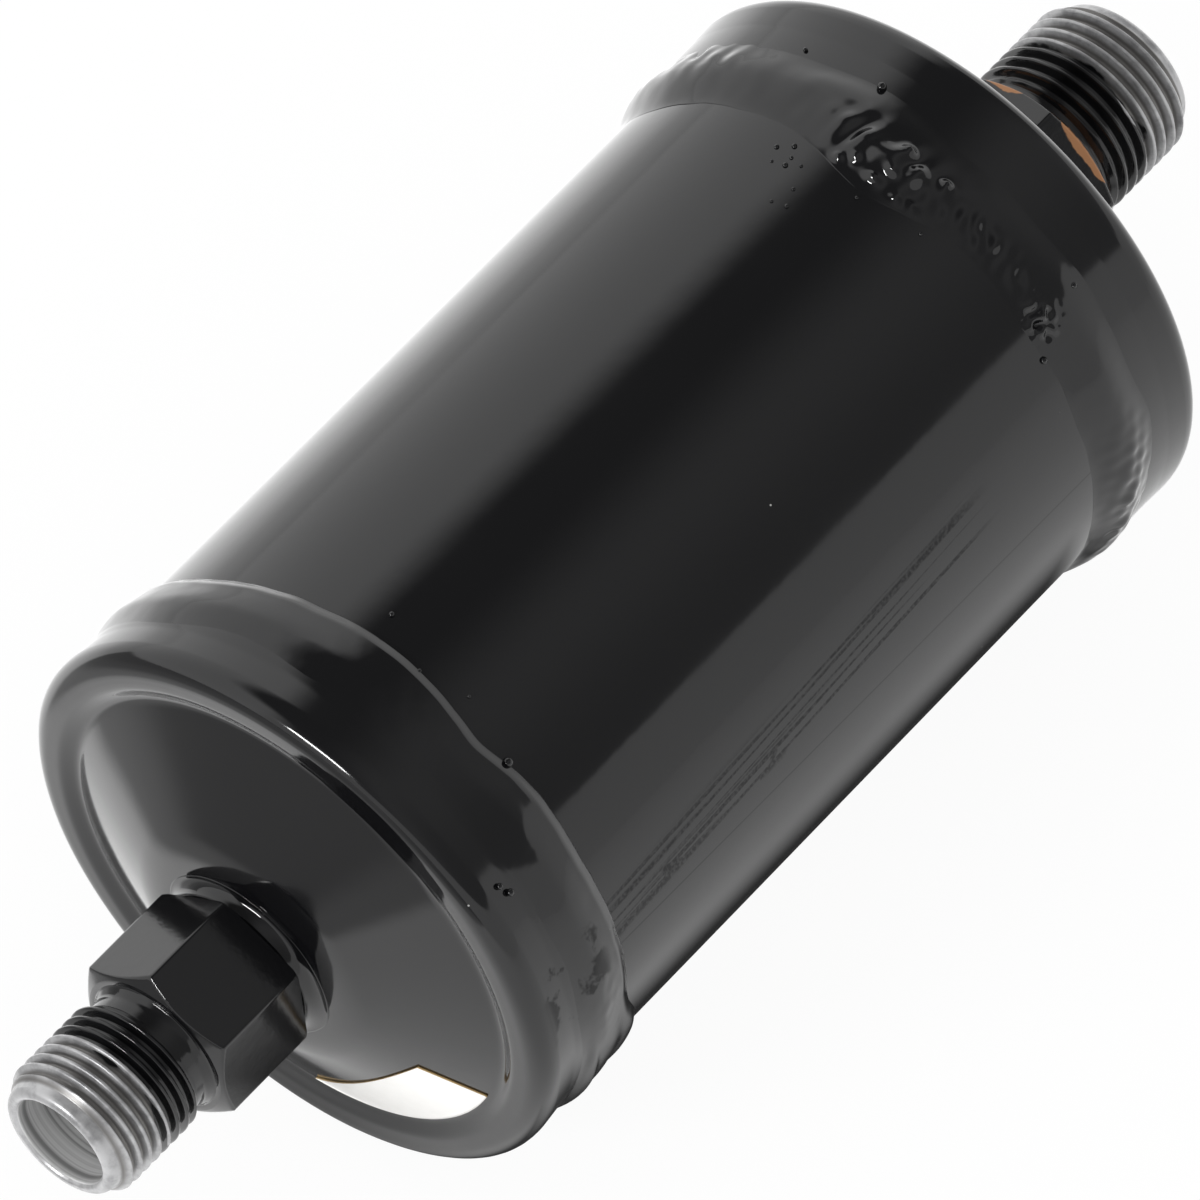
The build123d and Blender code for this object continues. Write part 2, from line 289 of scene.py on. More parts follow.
class Nodes:
    """Adds nodes to a tree one line at a time."""

    def __init__(self, tree):
        self.tree = tree

    def add(self, kind, settings=None, **inputs):
        node = self.tree.nodes.new(kind)
        for key, value in (settings or {}).items():
            setattr(node, key, value)
        for key, value in inputs.items():
            self.put(node.inputs[key.replace("_", " ")], value)
        return node

    def put(self, socket, value):
        if isinstance(value, bpy.types.NodeSocket):
            self.tree.links.new(value, socket)
        else:
            socket.default_value = value

    def math(self, operation, *values):
        node = self.add("ShaderNodeMath", {"operation": operation})
        for socket, value in zip(node.inputs, values):
            self.put(socket, value)
        return node.outputs[0]

    def product(self, first, *others):
        for other in others:
            first = self.math("MULTIPLY", first, other)
        return first

    def most(self, first, *others):
        for other in others:
            first = self.math("MAXIMUM", first, other)
        return first

    def spread(self, value, low, high, to_low=0.0, to_high=1.0):
        """A smooth step from one level to another between two values."""
        node = self.add("ShaderNodeMapRange", {"interpolation_type": "SMOOTHSTEP"}, Value=value)
        for socket, number in zip(("From Min", "From Max", "To Min", "To Max"),
                                  (low, high, to_low, to_high)):
            self.put(node.inputs[socket], number)
        return node.outputs["Result"]

    def window(self, value, low, full, still_full, gone, unit=MM):
        """1 between two values and 0 well outside them, which are in millimetres by default."""
        return self.product(self.spread(value, low * unit, full * unit),
                            self.spread(value, still_full * unit, gone * unit, 1.0, 0.0))

    def either(self, share, first, second):
        """Two shaders mixed: only the first where the share is 0, and only the second at 1."""
        node = self.add("ShaderNodeMixShader")
        for socket, value in zip(node.inputs, (share, first, second)):
            self.put(socket, value)
        return node.outputs[0]


class Shader(Nodes):
    """The nodes of a new material."""

    def __init__(self, name):
        self.material = bpy.data.materials.new(name)
        self.material.use_nodes = True
        super().__init__(self.material.node_tree)
        self.surface = self.tree.nodes["Principled BSDF"]
        self.place = self.add("ShaderNodeTexCoord").outputs["Object"]

    def set(self, **values):
        for key, value in values.items():
            self.put(self.surface.inputs[key.replace("_", " ")], value)

    def noise(self, scale, detail=3.0, roughness=0.5, vector=None):
        node = self.add("ShaderNodeTexNoise", Vector=vector or self.place, Scale=scale,
                        Detail=detail, Roughness=roughness)
        return node.outputs["Fac"]

    def mix(self, share, first, second):
        node = self.add("ShaderNodeMix", {"data_type": "RGBA"})
        self.put(node.inputs["Factor"], share)
        self.put(node.inputs["A"], first)
        self.put(node.inputs["B"], second)
        return node.outputs["Result"]

    def bump(self, height, distance, strength=1.0, normal=None):
        node = self.add("ShaderNodeBump", Height=height, Distance=distance, Strength=strength)
        if normal is not None:
            self.put(node.inputs["Normal"], normal)
        return node.outputs["Normal"]

    def plane(self, x, y):
        return self.add("ShaderNodeCombineXYZ", X=x, Y=y).outputs[0]

    def parts(self):
        """The place in X and in Y, and the height above the drier's axis."""
        x, y, z = self.add("ShaderNodeSeparateXYZ", Vector=self.place).outputs
        return x, y, self.math("SUBTRACT", z, AXIS_HEIGHT * MM)

    def unrolled(self, radius):
        """The place along X and round the axis, as on a sheet unrolled at that radius."""
        x, y, height = self.parts()
        return x, self.math("MULTIPLY", self.math("ARCTAN2", height, y), radius * MM)


BLACK = (0.0035, 0.0035, 0.004, 1.0)
DUST = (0.35, 0.35, 0.34, 1.0)
COPPER = (0.50, 0.235, 0.095, 1.0)
DULL_COPPER = (0.33, 0.15, 0.06, 1.0)
STEEL_DARK, STEEL_LIGHT = (0.24, 0.24, 0.245, 1.0), (0.42, 0.42, 0.425, 1.0)
BORE_DARK, BORE_LIGHT = (0.24, 0.24, 0.24, 1.0), (0.66, 0.66, 0.66, 1.0)
# The next two colours are painted shade: deep in the bore, and between the threads.
BORE_PAINTED_SHADE = (0.20, 0.20, 0.20, 1.0)
THREAD_ROOT_SHADE = (0.15, 0.145, 0.14, 1.0)


def drag_marks(shader):
    """Dull stippled lines along the can where it was dragged, with blots towards the outlet."""
    x, across = shader.unrolled(SHELL_RADIUS)
    # The marks drift down the side by a few millimetres over their length.
    drift = shader.math("MULTIPLY_ADD", x, 0.05, across)
    fine = shader.plane(shader.math("MULTIPLY", x, 0.012), drift)
    lines = shader.spread(shader.noise(1500.0, 1.5, 0.5, fine), 0.50, 0.60)
    stipple = shader.spread(shader.noise(2600.0, 2.0), 0.34, 0.60, 0.35, 0.9)
    lines = shader.product(lines, stipple, shader.window(drift, 9.4, 10.4, 14.0, 15.6),
                           shader.window(x, -27.0, -19.0, 32.0, 46.0))
    longer = shader.plane(shader.math("MULTIPLY", x, 0.4), across)
    blots = shader.spread(shader.noise(330.0, 3.0, 0.6, longer), 0.58, 0.62)
    blots = shader.product(blots, stipple, shader.window(drift, 9.4, 10.2, 11.8, 12.8),
                           shader.spread(x, 4.0 * MM, 12.0 * MM))
    # One thin line, as of a seam, runs beside them.
    seam_line = shader.math("MULTIPLY_ADD", x, -0.02, across)
    seam = shader.math("MULTIPLY", shader.window(seam_line, 6.14, 6.26, 6.34, 6.46), 0.55)
    return shader.most(lines, blots, seam)


def scuffs(shader):
    """Dull blots low on the outlet's bead and on the skirt beside it."""
    x, across = shader.unrolled(SKIRT_RADIUS)
    blots = shader.spread(shader.noise(200.0, 4.0, 0.6), 0.53, 0.60)
    return shader.product(blots, shader.window(x, 38.0, 39.5, 47.0, 48.5),
                          shader.window(across, 3.0, 5.0, 13.0, 15.0))


def gloss_black(name, marks, orange_peel=0.00001, roughness=0.075):
    """Black enamel with a faint orange peel, a little dust, and marks that dull its gloss."""
    shader = Shader(name)
    flow = shader.bump(shader.noise(38.0, 2.0), 0.00006)
    specks = shader.add("ShaderNodeTexVoronoi", Vector=shader.place, Scale=230.0)
    dust = shader.product(shader.spread(specks.outputs["Distance"], 0.018, 0.030, 1.0, 0.0),
                          shader.spread(shader.noise(120.0, 1.0), 0.56, 0.60))
    shader.set(Base_Color=shader.mix(dust, BLACK, DUST), IOR=1.5,
               Specular_IOR_Level=shader.math("MULTIPLY_ADD", marks(shader), -0.33, 0.5),
               Roughness=shader.spread(shader.noise(55.0, 4.0), 0.35, 0.75, roughness,
                                       roughness + 0.05),
               Normal=shader.bump(shader.noise(260.0, 2.0), orange_peel, 1.0, flow))
    return shader.material


def worn_copper(shader, along, turn, edge):
    """Where the enamel has worn through to the braze at the hexagon's chamfer."""
    # Wide on two stretches round the axis, which are given in radians, and thin between.
    low_side = shader.window(turn, 0.3, 0.6, 1.1, 1.3, unit=1.0)
    high_side = shader.window(turn, 1.62, 1.78, 2.1, 2.5, unit=1.0)
    width = shader.most(shader.math("MULTIPLY", low_side, 1.0 * MM),
                        shader.math("MULTIPLY", high_side, 0.6 * MM), 0.1 * MM)
    ragged = shader.math("MULTIPLY_ADD", shader.noise(260.0, 4.0, 0.6), 1.6 * MM, -0.8 * MM)
    off = shader.math("ABSOLUTE", shader.math("SUBTRACT", along, edge * MM))
    off = shader.math("ADD", off, ragged)
    return shader.spread(shader.math("SUBTRACT", width, off), -0.05 * MM, 0.15 * MM)


def fitting_steel(name, end, paint_edge, ragged, copper_edge=None):
    """Turned steel at the tip and black enamel from the boss to a ragged line on the thread."""
    shader = Shader(name)
    x, y, height = shader.parts()
    from_axis = shader.math("SQRT", shader.math("MULTIPLY_ADD", height, height,
                                                shader.math("MULTIPLY", y, y)))
    along = shader.math("MULTIPLY", shader.math("SUBTRACT", x, MIDDLE_X * MM), end.side)

    def from_axis_step(start, low, high, *levels):
        return shader.spread(from_axis, (start + low) * MM, (start + high) * MM, *levels)

    # The enamel ends on a wandering line, further back on the thread's crests.
    wander = shader.math("MULTIPLY_ADD", shader.noise(210.0, 3.0), ragged * MM, paint_edge * MM)
    crest = from_axis_step(end.thread_radius, -0.45, 0.0)
    line = shader.math("SUBTRACT", wander, shader.math("MULTIPLY", crest, 0.9 * MM))
    in_bore = from_axis_step(end.bore_radius, 0.02, 0.1, 1.0, 0.0)
    bare = shader.most(shader.spread(shader.math("SUBTRACT", along, line), -0.15 * MM, 0.15 * MM),
                       in_bore)

    # Grey steel, lighter and ringed in the bore, with painted shade dark between the threads.
    stains = shader.noise(420.0, 5.0, 0.65)
    steel = shader.mix(shader.spread(stains, 0.30, 0.62), STEEL_DARK, STEEL_LIGHT)
    turned = shader.plane(along, from_axis)
    rings = shader.spread(shader.noise(1100.0, 2.0, 0.6, turned), 0.36, 0.60)
    steel = shader.mix(in_bore, steel, shader.mix(rings, BORE_DARK, BORE_LIGHT))
    # Painted shade: the roots between the threads are darkened, away from the crests and the bore.
    on_thread = shader.spread(shader.math("SUBTRACT", end.thread_end * MM, along),
                              -0.2 * MM, 0.2 * MM)
    clean = shader.most(from_axis_step(end.thread_radius, -0.85, -0.3), in_bore)
    root_shade = shader.product(on_thread, shader.math("SUBTRACT", 1.0, clean))
    steel = shader.mix(root_shade, steel, THREAD_ROOT_SHADE)
    # Painted shade: the bore darkens towards its far end.
    far_bore_shade = shader.spread(along, (end.tip - 13.0) * MM, (end.tip - 4.0) * MM, 1.0, 0.0)
    steel = shader.mix(shader.product(in_bore, far_bore_shade), steel, BORE_PAINTED_SHADE)

    colour = shader.mix(bare, BLACK, steel)
    metal = shader.math("MULTIPLY_ADD", in_bore, -0.25, shader.math("MULTIPLY", bare, 0.6))
    if copper_edge:
        turn = shader.math("ARCTAN2", height, y)
        patch = worn_copper(shader, along, turn, copper_edge)
        colour = shader.mix(patch, colour, DULL_COPPER)
        metal = shader.most(metal, shader.math("MULTIPLY", patch, 0.3))
    scratch = shader.product(shader.noise(3000.0, 2.0, 0.6, turned), bare)
    shader.set(Base_Color=colour, Metallic=metal, IOR=1.5,
               Normal=shader.bump(scratch, 0.00003, 0.6, shader.bump(stains, 0.00003, 0.5)),
               Roughness=shader.spread(metal, 0.0, 0.3, 0.10, 0.34))
    return shader.material


def copper_braze(name):
    """Braze under enamel that has worn through to copper in patches."""
    shader = Shader(name)
    patch = shader.spread(shader.noise(120.0, 4.0, 0.6), 0.62, 0.66)
    shader.set(Base_Color=shader.mix(patch, BLACK, COPPER), Metallic=patch, IOR=1.5,
               Roughness=shader.spread(patch, 0.0, 1.0, 0.12, 0.35),
               Normal=shader.bump(shader.noise(300.0, 3.0), 0.00004))
    return shader.material


def label_paper(name):
    """Blank white film, faintly mottled."""
    shader = Shader(name)
    mottle = shader.noise(900.0, 4.0)
    shader.set(Base_Color=shader.mix(mottle, (0.86, 0.85, 0.82, 1.0), (0.92, 0.91, 0.89, 1.0)),
               Roughness=shader.spread(mottle, 0.2, 0.8, 0.38, 0.5),
               Normal=shader.bump(mottle, 0.000008), IOR=1.45)
    return shader.material


def label_glue(name):
    """Yellowed edge of the film and its glue."""
    shader = Shader(name)
    age = shader.noise(500.0, 3.0)
    shader.set(Base_Color=shader.mix(age, (0.55, 0.38, 0.16, 1.0), (0.30, 0.19, 0.08, 1.0)),
               Roughness=0.5)
    return shader.material


def plated_steel(name, tone):
    """Zinc plate or oiled wire: a cloudy metal."""
    shader = Shader(name)
    cloud = shader.noise(240.0, 4.0)
    dark = tuple(0.75 * part for part in tone) + (1.0,)
    shader.set(Base_Color=shader.mix(cloud, dark, tone + (1.0,)), Metallic=1.0,
               Roughness=shader.spread(cloud, 0.3, 0.7, 0.28, 0.45),
               Normal=shader.bump(cloud, 0.00002))
    return shader.material


def wire_mesh(name):
    """Woven stainless wire: two sets of waves across the disc."""
    shader = Shader(name)
    weave, cross = [
        shader.add("ShaderNodeTexWave", {"bands_direction": way}, Vector=shader.place, Scale=420.0)
        for way in "YZ"]
    wires = shader.most(weave.outputs["Fac"], cross.outputs["Fac"])
    shader.set(Base_Color=shader.mix(wires, (0.05, 0.05, 0.05, 1.0), (0.5, 0.5, 0.5, 1.0)),
               Metallic=1.0, Roughness=0.35, Normal=shader.bump(wires, 0.0002))
    return shader.material


def fibre_felt(name):
    shader = Shader(name)
    fibres = shader.noise(1600.0, 6.0, 0.7)
    shader.set(Base_Color=shader.mix(fibres, (0.55, 0.53, 0.46, 1.0), (0.86, 0.84, 0.78, 1.0)),
               Roughness=0.95, Normal=shader.bump(fibres, 0.0003))
    return shader.material


def desiccant_beads(name):
    shader = Shader(name)
    beads = shader.add("ShaderNodeTexVoronoi", Vector=shader.place, Scale=480.0)
    shade = shader.mix(beads.outputs["Distance"], (0.78, 0.72, 0.6, 1.0), (0.5, 0.44, 0.34, 1.0))
    shader.set(Base_Color=shade, Roughness=0.9,
               Normal=shader.bump(shader.math("SUBTRACT", 1.0, beads.outputs["Distance"]), 0.0006))
    return shader.material


# ---- shell ----

def make_shell(material):
    """The tube, with the slow waves of a rolled and painted surface."""
    inner = SHELL_RADIUS - SHELL_WALL
    along, radius = upright(rounded_line(
        [(-SHELL_HALF, inner), (-SHELL_HALF, SHELL_RADIUS), (SHELL_HALF, SHELL_RADIUS),
         (SHELL_HALF, inner)], [0, 0], step=2.4))
    points = place(along, radius, turn_angles(COLUMNS), OUTLET)
    # The waves are drawn out along the tube.
    wave = SHELL_WAVE * ripple(points * (0.35, 1, 1), SHELL_WAVELENGTH, seed=3)
    outside = radius > inner + 0.5
    tube = lathe("shell_tube", along, radius + np.where(outside, wave, 0), OUTLET, COLUMNS)
    return finish_piece(tube, material, "gloss_black_paint", "shell")


# ---- caps ----

def cap_line(end):
    """The cap's outer line, from the skirt's edge over the rim and groove to its hole."""
    corners = [(CAP_EDGE, end.waist_radius), (end.rim - WAIST_END, end.waist_radius),
               (end.rim - SWELL_END, SKIRT_RADIUS), (end.rim, SKIRT_RADIUS - RIM_TAPER),
               (end.rim, CROWN_RADIUS), (end.rim - GROOVE_DEPTH, GROOVE_RADIUS),
               (SEAT, end.seat_radius), (SEAT, end.spigot_radius + SPIGOT_GAP)]
    return rounded_line(corners, CAP_FILLETS, step=0.4)


def make_cap(name, end, material):
    """A drawn cup of even wall, with a little unevenness under the paint."""
    outer = cap_line(end)
    normals = line_normals(outer)
    inner = outer - CAP_WALL * normals
    # The hidden side needs only every fourth row.
    inner = np.vstack((inner[:0:-4], inner[:1]))
    along, radius = upright(outer)
    normal_along, normal_out = upright(normals)
    inner_along, inner_radius = upright(inner)
    points = place(along, radius, turn_angles(COLUMNS), end.side)
    wave = CAP_WAVE * ripple(points, CAP_WAVELENGTH, seed=11 + end.side)
    cup = lathe(name + "_skin", stack_rows(along + wave * normal_along, inner_along),
                stack_rows(radius + wave * normal_out, inner_radius), end.side, COLUMNS)
    return finish_piece(cup, material, "gloss_black_paint", name)


# ---- weld beads ----

def mound(along, turns, radius, at, turn, long, wide, height, sharp=1.0):
    """A smooth drop of metal: a bell shape, flatter on top and steeper at its edge where sharp."""
    across = turn_gap(turns, turn) * radius
    return height * np.exp(-(((along - at) / long) ** 2 + (across / wide) ** 2) ** sharp)


def foot_ball(along, turns, turn):
    """Radius of the foot lump's ball, or nothing beside it."""
    centre = SKIRT_RADIUS + FOOT_RISE - FOOT_BALL
    gap = turn_gap(turns, turn)
    left = FOOT_BALL ** 2 - (centre * np.sin(gap)) ** 2 - (along - FOOT_PLACE) ** 2
    hit = (left > 0) & (np.abs(gap) < 0.5)
    return np.where(hit, centre * np.cos(gap) + np.sqrt(np.maximum(left, 0)), 0)


def make_bead(name, end, toe, lap, lap_radius, crown, crown_at, steep, drops, patches, seed,
              material):
    """A hand-run bead: a skin from its toe on the shell to its lap on the cap's skirt."""
    share = np.linspace(0, 1, BEAD_ROWS)[:, None]
    turns = turn_angles(BEAD_COLUMNS)
    ring = place(CAP_EDGE, SKIRT_RADIUS, turns, end.side)
    toe_along = toe(turns) + 0.12 * ripple(ring, 16, seed) + 0.04 * ripple(ring, 5, seed + 1)
    lap_along = lap + 0.25 * ripple(ring, 14, seed + 2)
    along = toe_along + (lap_along - toe_along) * share
    # A steep bead starts with a bank and a flat one rises slowly. Both ends sink a little.
    bank = smooth_step(along, toe_along - 0.6, toe_along + 1.5)
    slow = smooth_step(along, toe_along - 0.3, toe_along + 5.0)
    rise = steep * bank + (1 - steep) * slow
    fall = smooth_step(along, crown_at, lap_along)
    radius = SHELL_RADIUS - 0.015 - 0.05 * steep + (crown - SHELL_RADIUS) * rise
    radius = radius + (lap_radius - 0.05 - crown) * fall
    skin = place(along, radius, turns, end.side)
    inside = np.sin(math.pi * share) ** 0.6
    uneven = 0.035 * ripple(skin, 13, seed + 3) + 0.004 * ripple(skin, 3, seed + 4)
    radius = radius + inside * uneven
    for drop in drops:
        radius = radius + inside * mound(along, turns, SKIRT_RADIUS, *drop)
    for *patch, grain, number in patches:
        lumps = ripple(skin, grain, seed + number)
        radius = radius + inside * mound(along, turns, SKIRT_RADIUS, *patch) * lumps
    between = share * (1 - share) > 0
    for turn in FOOT_TURNS:
        with_foot = soft_max(radius, foot_ball(along, turns, turn), 0.25)
        radius = np.where(between, with_foot, radius)
    under = np.full((2, 1), SHELL_RADIUS - 0.3)
    weld = lathe(name + "_skin", stack_rows(along, lap_along, toe_along),
                 stack_rows(radius, under), end.side, BEAD_COLUMNS)
    return finish_piece(weld, material, "painted_weld", name)


def wave_at(turns, centre, width):
    """A smooth hump of height 1 at a turn. Both are in degrees."""
    return np.exp(-(turn_gap(turns, centre) / math.radians(width)) ** 2)


def outlet_toe(turns):
    """The toe is drawn back over the top half of the can."""
    top = smooth_step(np.cos(turn_gap(turns, 75.0)), 0.0, 0.3)
    back = (2.9 - 0.5 * wave_at(turns, 18, 25) - 0.7 * wave_at(turns, 86, 13)
            + 0.6 * wave_at(turns, 62, 7) + 0.5 * wave_at(turns, 125, 18))
    return 36.3 + top * back


def inlet_toe(turns):
    """The toe reaches furthest where the bead was started over."""
    return (36.2 - 2.4 * wave_at(turns, 84, 14) - 0.9 * wave_at(turns, 150, 22)
            - 0.5 * wave_at(turns, 42, 8))


# ---- brazes ----

def make_braze(name, end, slot, material):
    """A concave ring of braze on the cap's seat, a little uneven."""
    outer = end.boss_radius + BRAZE_WIDTH
    bow = np.linspace(0, math.pi / 2, BRAZE_ROWS)[:, None]
    ring = place(SEAT, outer, turn_angles(BRAZE_COLUMNS), end.side)
    reach = outer + BRAZE_WAVE * ripple(ring, BRAZE_WAVELENGTH, seed=31 + end.side)
    # A quarter of an ellipse, flat on the seat and upright on the boss.
    along = SEAT + 0.03 + (end.boss_height - BRAZE_SINK) * (1 - np.cos(bow))
    radius = end.boss_radius + (reach - end.boss_radius) * (1 - np.sin(bow))
    under = np.full((2, 1), SEAT - 0.3)
    in_boss = np.full((1, 1), end.boss_radius - 0.2)
    braze = lathe(name + "_skin", stack_rows(along, under), stack_rows(radius, in_boss, reach),
                  end.side, BRAZE_COLUMNS)
    return finish_piece(braze, material, slot, name)


# ---- fittings ----

def hex_radius(end, along, turns):
    """Hexagon bar, chamfered at both ends, its edges softened by paint."""
    sixth = math.pi / 3
    off = (turns - math.radians(end.hex_turn + 30.0)) % sixth
    # The two flats that meet near this turn.
    near = end.hex_flat / np.cos(off)
    far = end.hex_flat / np.cos(sixth - off)
    prism = soft_min(near, far, 0.18)
    slope = 1 / math.tan(math.radians(HEX_CHAMFER))
    behind = HEX_FOOT * end.hex_flat + slope * (along - end.hex_start)
    ahead = HEX_TOP * end.hex_flat + slope * (end.hex_end - along)
    return soft_min(soft_min(prism, behind, 0.2), ahead, 0.2)


def thread_radius(end, along, turns):
    """Right-hand 60 degree thread that runs out into the neck and is chamfered at the nose."""
    phase = (along - end.thread_start) / end.pitch - end.side * turns / (2 * math.pi)
    from_crest = np.abs((phase % 1.0) - 0.5) * -2 + 1
    groove = np.clip((from_crest - 0.16) / 0.58, 0, 1)
    # Half way between a sharp groove and one with rounded crest and root.
    groove = 0.5 * groove + 0.5 * groove * groove * (3 - 2 * groove)
    radius = end.thread_radius - THREAD_DEPTH * end.pitch * groove
    lead_in = end.neck_radius - 0.1 + (along - end.thread_start + 0.8)
    lead_out = end.neck_radius - 0.1 + 0.9 * (end.thread_end - along)
    radius = np.minimum(radius, np.maximum(lead_in, end.neck_radius))
    return np.minimum(radius, np.maximum(lead_out, end.neck_radius - 0.1))


def make_fitting(name, end, hex_name, material):
    """Spigot, boss and hexagon in one skin; neck, thread, nose and bore in another."""
    turns = turn_angles(COLUMNS)
    back = SEAT - SPIGOT_LENGTH
    seam = end.hex_end - 0.6  # where the two skins meet, inside the hexagon
    neck, bore, throat = end.neck_radius, end.bore_radius, end.throat_radius

    boss_along, boss_radius = upright(rounded_line(
        [(back, throat), (back, end.spigot_radius), (SEAT, end.spigot_radius),
         (SEAT, end.boss_radius), (end.hex_start, end.boss_radius)], [0, 0, 0], step=0.6))
    # Rows lie closest together at the hexagon's chamfers.
    steps = 0.5 - 0.5 * np.cos(math.pi * np.linspace(0, 1, HEX_ROWS)[:, None])
    hex_along = end.hex_start + (end.hex_end - end.hex_start) * steps
    core_along, core_radius = upright(np.array(
        [(end.hex_end, neck - 0.3), (seam, neck - 0.6), (seam, throat)]))
    body = lathe(hex_name, stack_rows(boss_along, hex_along, core_along),
                 stack_rows(boss_radius, hex_radius(end, hex_along, turns), core_radius),
                 end.side, COLUMNS)
    finish_piece(body, material, "bare_steel", name)

    start = [(seam, throat + 0.02), (seam, neck - 0.3)]
    # A small fillet leads from the hexagon's face into the neck.
    neck_line = rounded_line(
        [(end.hex_end - 0.04, neck + 0.75), (end.hex_end + 0.12, neck + 0.5),
         (end.hex_end + 0.75, neck), (end.thread_start - 1.0, neck)], [0.4, 0.8], step=0.15)
    thread = np.arange(end.thread_start - 0.9, end.thread_end, end.pitch / ROWS_A_PITCH)[:, None]
    # The nose tapers to a flat lip, whose inner edge is broken.
    lip = (neck + bore) / 2
    nose = rounded_line(
        [(end.thread_end, neck - 0.1), (end.thread_end + 0.5, neck - 0.25),
         (end.tip, lip + 0.45), (end.tip, bore + 0.35),
         (end.tip - 0.35, bore), (end.tip - 1.0, bore)], [0.8, 0.9, 0.4, 0.4], step=0.25)
    bore_line = rounded_line(
        [(end.tip - 1.8, bore), (end.bore_end, bore), (end.bore_end, throat + 0.02)], [0],
        step=1.0)
    before_along, before_radius = upright(np.vstack((start, neck_line)))
    after_along, after_radius = upright(np.vstack((nose, bore_line)))
    stub = lathe(name.replace("fitting", "stub"), stack_rows(before_along, thread, after_along),
                 stack_rows(before_radius, thread_radius(end, thread, turns), after_radius),
                 end.side, COLUMNS)
    return finish_piece(stub, material, "bare_steel", name)


# ---- label ----

def heading(degrees):
    """A step of 1 across the axis in that direction."""
    return np.array((math.cos(math.radians(degrees)), math.sin(math.radians(degrees))))


def make_label(material, edge_material):
    """A blank film that lies on the outlet cap's dome and ends at the groove."""
    edge = GROOVE_RADIUS - LABEL_MARGIN
    corner = heading(LABEL_CORNER[1]) * LABEL_CORNER[0]

    def to_edge(direction):
        """Where a line from the corner in that direction meets the groove."""
        way = heading(direction)
        half = corner @ way
        return corner + way * (-half + math.sqrt(half * half - corner @ corner + edge * edge))

    near, far = [to_edge(direction) for direction in LABEL_SIDES]
    u = np.linspace(0, 1, LABEL_COLUMNS)[None, :, None]
    v = np.linspace(0, 1, LABEL_ROWS)[:, None, None]
    long_side = corner + (far - corner) * u
    first, last = np.arctan2(near[1], near[0]), np.arctan2(far[1], far[0])
    turns = first + (last - first) * u
    round_side = edge * np.concatenate((np.cos(turns), np.sin(turns)), axis=-1)
    flat = long_side + (round_side - long_side) * v

    dome = cap_line(outlet)
    dome = dome[(dome[:, 0] > outlet.rim - GROOVE_DEPTH) & (dome[:, 1] < GROOVE_RADIUS + 0.5)]
    dome = dome[np.argsort(dome[:, 1])]
    from_axis = np.linalg.norm(flat, axis=-1)
    under = MIDDLE_X + np.interp(from_axis, dome[:, 1], dome[:, 0])
    # The edges lift a little.
    u, v = u[..., 0], v[..., 0]
    from_edge = np.minimum(np.minimum(u, 1 - u) * LABEL_LENGTH, np.minimum(v, 1 - v) * LABEL_WIDTH)
    lift = LABEL_LIFT * np.exp(-from_edge / LIFT_REACH)
    layers = []
    for height in (-LABEL_SINK, LABEL_THICKNESS + lift):
        layer = np.stack((under + height, flat[..., 0], AXIS_HEIGHT + flat[..., 1]), axis=-1)
        layers.append(layer.reshape(-1, 3))

    rows, columns = LABEL_ROWS, LABEL_COLUMNS
    count = rows * columns
    sheet = grid_quads(rows, columns, False, False, False)
    border = np.concatenate((np.arange(columns), np.arange(2, rows + 1) * columns - 1,
                             np.arange(count - 2, count - columns - 1, -1),
                             np.arange(rows - 2, 0, -1) * columns))
    after = np.roll(border, -1)
    sides = np.stack((border, after, after + count, border + count), axis=-1)
    quads = np.vstack((sheet[:, ::-1], sheet + count, sides))
    piece = add_mesh("label_film", np.vstack(layers), quads)
    finish_piece(piece, material, "label_film", "label")
    piece.data.materials.append(edge_material)
    on_side = np.arange(len(quads)) >= len(quads) - len(sides)
    piece.data.polygons.foreach_set("material_index", on_side)
    return piece


# ---- spatter ----

# Place along, turn in degrees and radius of each bead of spatter.
INLET_SPATTER = (
    (33.2, 102.5, 0.28), (32.8, 98.5, 0.22), (31.7, 98.3, 0.3), (29.7, 93.6, 0.22),
    (27.2, 95.0, 0.2), (27.6, 92.1, 0.25), (32.9, 83.6, 0.22), (34.2, 99.8, 0.3),
    (34.3, 70.6, 0.22), (44.6, 94.4, 0.5), (44.9, 112.3, 0.25), (32.5, 95.8, 0.2),
    (31.4, 101.0, 0.18), (35.9, 37.8, 0.4), (42.9, 44.8, 0.35))
OUTLET_SPATTER = (
    (39.4, 56.8, 0.55), (38.8, 79.3, 0.22), (37.4, 69.8, 0.2), (35.6, 90.4, 0.3),
    (48.4, 40.6, 0.4), (49.0, 42.8, 0.35))
ON_SHELL = {INLET: 36, OUTLET: 40}   # spatter nearer the middle than this lies on the shell


